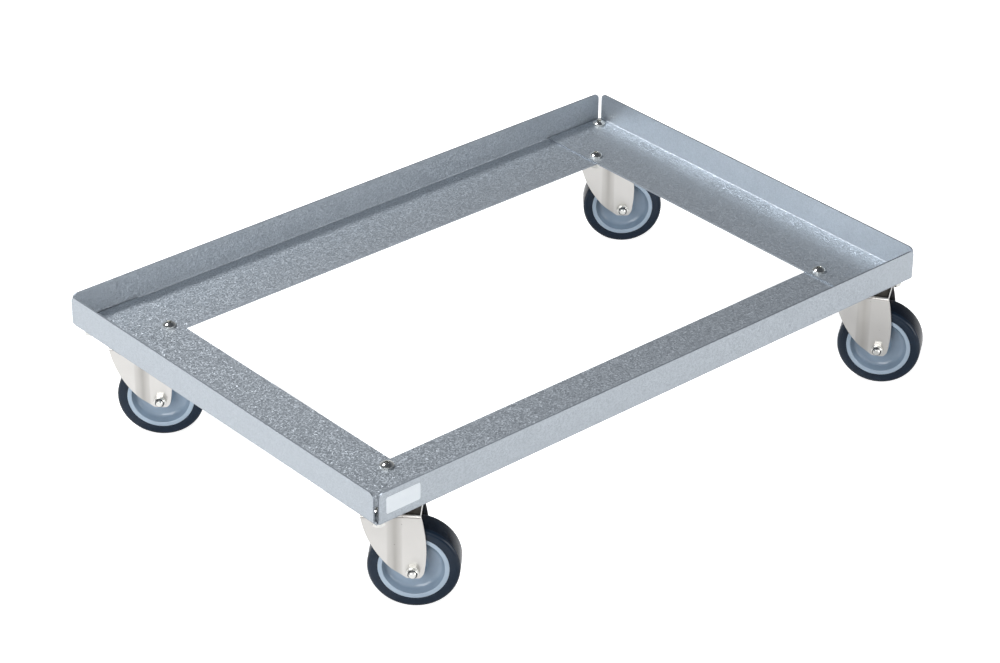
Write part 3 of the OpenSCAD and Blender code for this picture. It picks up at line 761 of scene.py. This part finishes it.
# Wheels
# A blue-grey moulded polypropylene centre, dished on both sides, with a dark thermoplastic
# rubber tyre moulded over it. Both are glossy enough to show the lamp along their edges.
TYRE_RADIUS = 37.5 * MM
TYRE_HALF = 12.5 * MM
TYRE_SHOULDER = 3.5 * MM
TREAD_OVERLAP = 0.3 * MM
SEAT_RADIUS = 28.8 * MM
SEAT_ROUNDING = 0.5 * MM
RING_RADIUS = 25.3 * MM
RING_FACE = 12.0 * MM
RING_ROUNDING = 0.4 * MM
RING_LIP = (0.6 * MM, 1 * MM)
WEB_HALF = 5.0 * MM
DISH_DRAFT = 3.5 * MM
DISH_FILLET = 3 * MM
HUB_RADIUS = 9.5 * MM
HUB_HALF = 13.2 * MM
HUB_DRAFT = 1 * MM
HUB_FILLET = 2.5 * MM
HUB_ROUNDING = 0.6 * MM
BORE_RADIUS = 4.05 * MM


def tyre_rubber(name, dark, light, shine):
    """Dark navy thermoplastic rubber: smooth from the mould, a little dusty, soft highlights."""
    material, tree, shader = new_material(name)
    shader.inputs["IOR"].default_value = 1.5
    shader.inputs["Specular IOR Level"].default_value = shine
    place = add_node(tree, "ShaderNodeTexCoord")
    dust = add_node(tree, "ShaderNodeTexNoise", [("Scale", 1 / (6 * MM)), ("Detail", 4.0)], [
        ("Vector", place.outputs["Object"])])
    tone = add_node(tree, "ShaderNodeValToRGB", [], [("Fac", dust.outputs["Fac"])])
    tone.color_ramp.elements[0].color = linear(dark)
    tone.color_ramp.elements[1].color = linear(light)
    tree.links.new(tone.outputs["Color"], shader.inputs["Base Color"])
    gloss = add_node(tree, "ShaderNodeMapRange", [("To Min", 0.17), ("To Max", 0.26)], [
        ("Value", dust.outputs["Fac"])])
    tree.links.new(gloss.outputs["Result"], shader.inputs["Roughness"])
    return material


def centre_plastic(name, dark, light):
    """Blue-grey polypropylene: moulded smooth, with a faint flow pattern in its colour."""
    material, tree, shader = new_material(name)
    shader.inputs["IOR"].default_value = 1.49
    place = add_node(tree, "ShaderNodeTexCoord")
    flow = add_node(tree, "ShaderNodeTexNoise", [("Scale", 1 / (9 * MM)), ("Detail", 3.0)], [
        ("Vector", place.outputs["Object"])])
    tone = add_node(tree, "ShaderNodeValToRGB", [], [("Fac", flow.outputs["Fac"])])
    tone.color_ramp.elements[0].color = linear(dark)
    tone.color_ramp.elements[1].color = linear(light)
    tree.links.new(tone.outputs["Color"], shader.inputs["Base Color"])
    gloss = add_node(tree, "ShaderNodeMapRange", [("To Min", 0.06), ("To Max", 0.1)], [
        ("Value", flow.outputs["Fac"])])
    tree.links.new(gloss.outputs["Result"], shader.inputs["Roughness"])
    return material


RUBBER = tyre_rubber("moulded_tyre_rubber", "12202f", "1a2b3d", 0.25)
TREAD = tyre_rubber("darker_tyre_tread", "0b1522", "101d2d", 0.07)
PLASTIC = centre_plastic("moulded_polypropylene", "8a9cae", "93a5b7")
# The ring's faces get a lighter copy of the same plastic
RING_PLASTIC = centre_plastic("lighter_polypropylene_ring", "aabccd", "b3c5d6")
tyre_section = [
    (SEAT_RADIUS, -TYRE_HALF, SEAT_ROUNDING), (TYRE_RADIUS, -TYRE_HALF, TYRE_SHOULDER),
    (TYRE_RADIUS, TYRE_HALF, TYRE_SHOULDER), (SEAT_RADIUS, TYRE_HALF, SEAT_ROUNDING)]
# The tread is the tyre's outer band, up to the shoulders. It gets a darker, less shiny copy of the
# rubber.
tread_half = TYRE_HALF - TYRE_SHOULDER + TREAD_OVERLAP
tyre_model = turned("tyre_model", tyre_section)
paint(tyre_model, RUBBER, TREAD)
for face in tyre_model.data.polygons:
    if abs(face.center.z) < tread_half and face.normal.z ** 2 < 0.5:
        face.material_index = 1
# Half of the centre's section: hub, web and ring
centre_half = [
    (BORE_RADIUS, HUB_HALF, 0), (HUB_RADIUS, HUB_HALF, HUB_ROUNDING),
    (HUB_RADIUS + HUB_DRAFT, WEB_HALF, HUB_FILLET),
    (RING_RADIUS - DISH_DRAFT, WEB_HALF, DISH_FILLET),
    (RING_RADIUS, RING_FACE, RING_ROUNDING), (SEAT_RADIUS, RING_FACE, 0)]
centre_section = centre_half + [(r, -z, rounding) for r, z, rounding in reversed(centre_half)]
centre_model = turned("centre_model", centre_section)
paint(centre_model, PLASTIC, RING_PLASTIC)
for face in centre_model.data.polygons:
    radius = math.hypot(face.center.x, face.center.y)
    if radius > RING_RADIUS - RING_LIP[0] and abs(face.center.z) > RING_FACE - RING_LIP[1]:
        face.material_index = 1
for corner in CORNERS:
    place = axle_place(corner)
    for model, part, slot in ((tyre_model, "tyre", "tyre_rubber"),
            (centre_model, "wheel_centre", "wheel_plastic")):
        piece = placed_copy(model, corner + "_" + part + "_moulding", place)
        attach(piece, corner + "_wheel")
        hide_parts(corner + "_" + part)
for model in (tyre_model, centre_model):
    bpy.data.objects.remove(model)

# Blank label
# A white adhesive film label with nothing printed on it, stuck on the front rim beside the
# corner. Its corners are rounded and it stands about 0.1 mm proud.
LABEL_LOW = Vector((-297.1 * MM, 0, 108.3 * MM))
LABEL_SIZE = Vector((34.4 * MM, 0.1 * MM, 15.4 * MM))
LABEL_CORNER = 2 * MM
LABEL_OUT = 0.04 * MM


def label_film():
    """White polypropylene film: smooth, softly glossy, a little uneven where it is stuck."""
    material, tree, shader = new_material("white_label_film")
    shader.inputs["Roughness"].default_value = 0.35
    place = add_node(tree, "ShaderNodeTexCoord")
    ripple = add_node(tree, "ShaderNodeTexNoise", [("Scale", 1 / (7 * MM))], [
        ("Vector", place.outputs["Object"])])
    tone = add_node(tree, "ShaderNodeValToRGB", [], [("Fac", ripple.outputs["Fac"])])
    tone.color_ramp.elements[0].color = linear("ecf3f9")
    tone.color_ramp.elements[1].color = linear("f2f8fc")
    tree.links.new(tone.outputs["Color"], shader.inputs["Base Color"])
    return material


deselect()
front_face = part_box("front_side")[0].y
bpy.ops.mesh.primitive_cube_add(size=1)
label = bpy.context.object
label.name = "blank_label"
label.data.transform(Matrix.Diagonal((*LABEL_SIZE, 1)))
label_middle = LABEL_LOW + LABEL_SIZE / 2
label_middle.y = front_face - LABEL_OUT
label.data.transform(Matrix.Translation(label_middle))
half_thick = LABEL_SIZE.y / 2
round_edges(label, lambda edge, ends: abs(ends[0].y - ends[1].y) > half_thick, LABEL_CORNER, 8)
paint(label, label_film())
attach(label, "frame")

low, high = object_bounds()
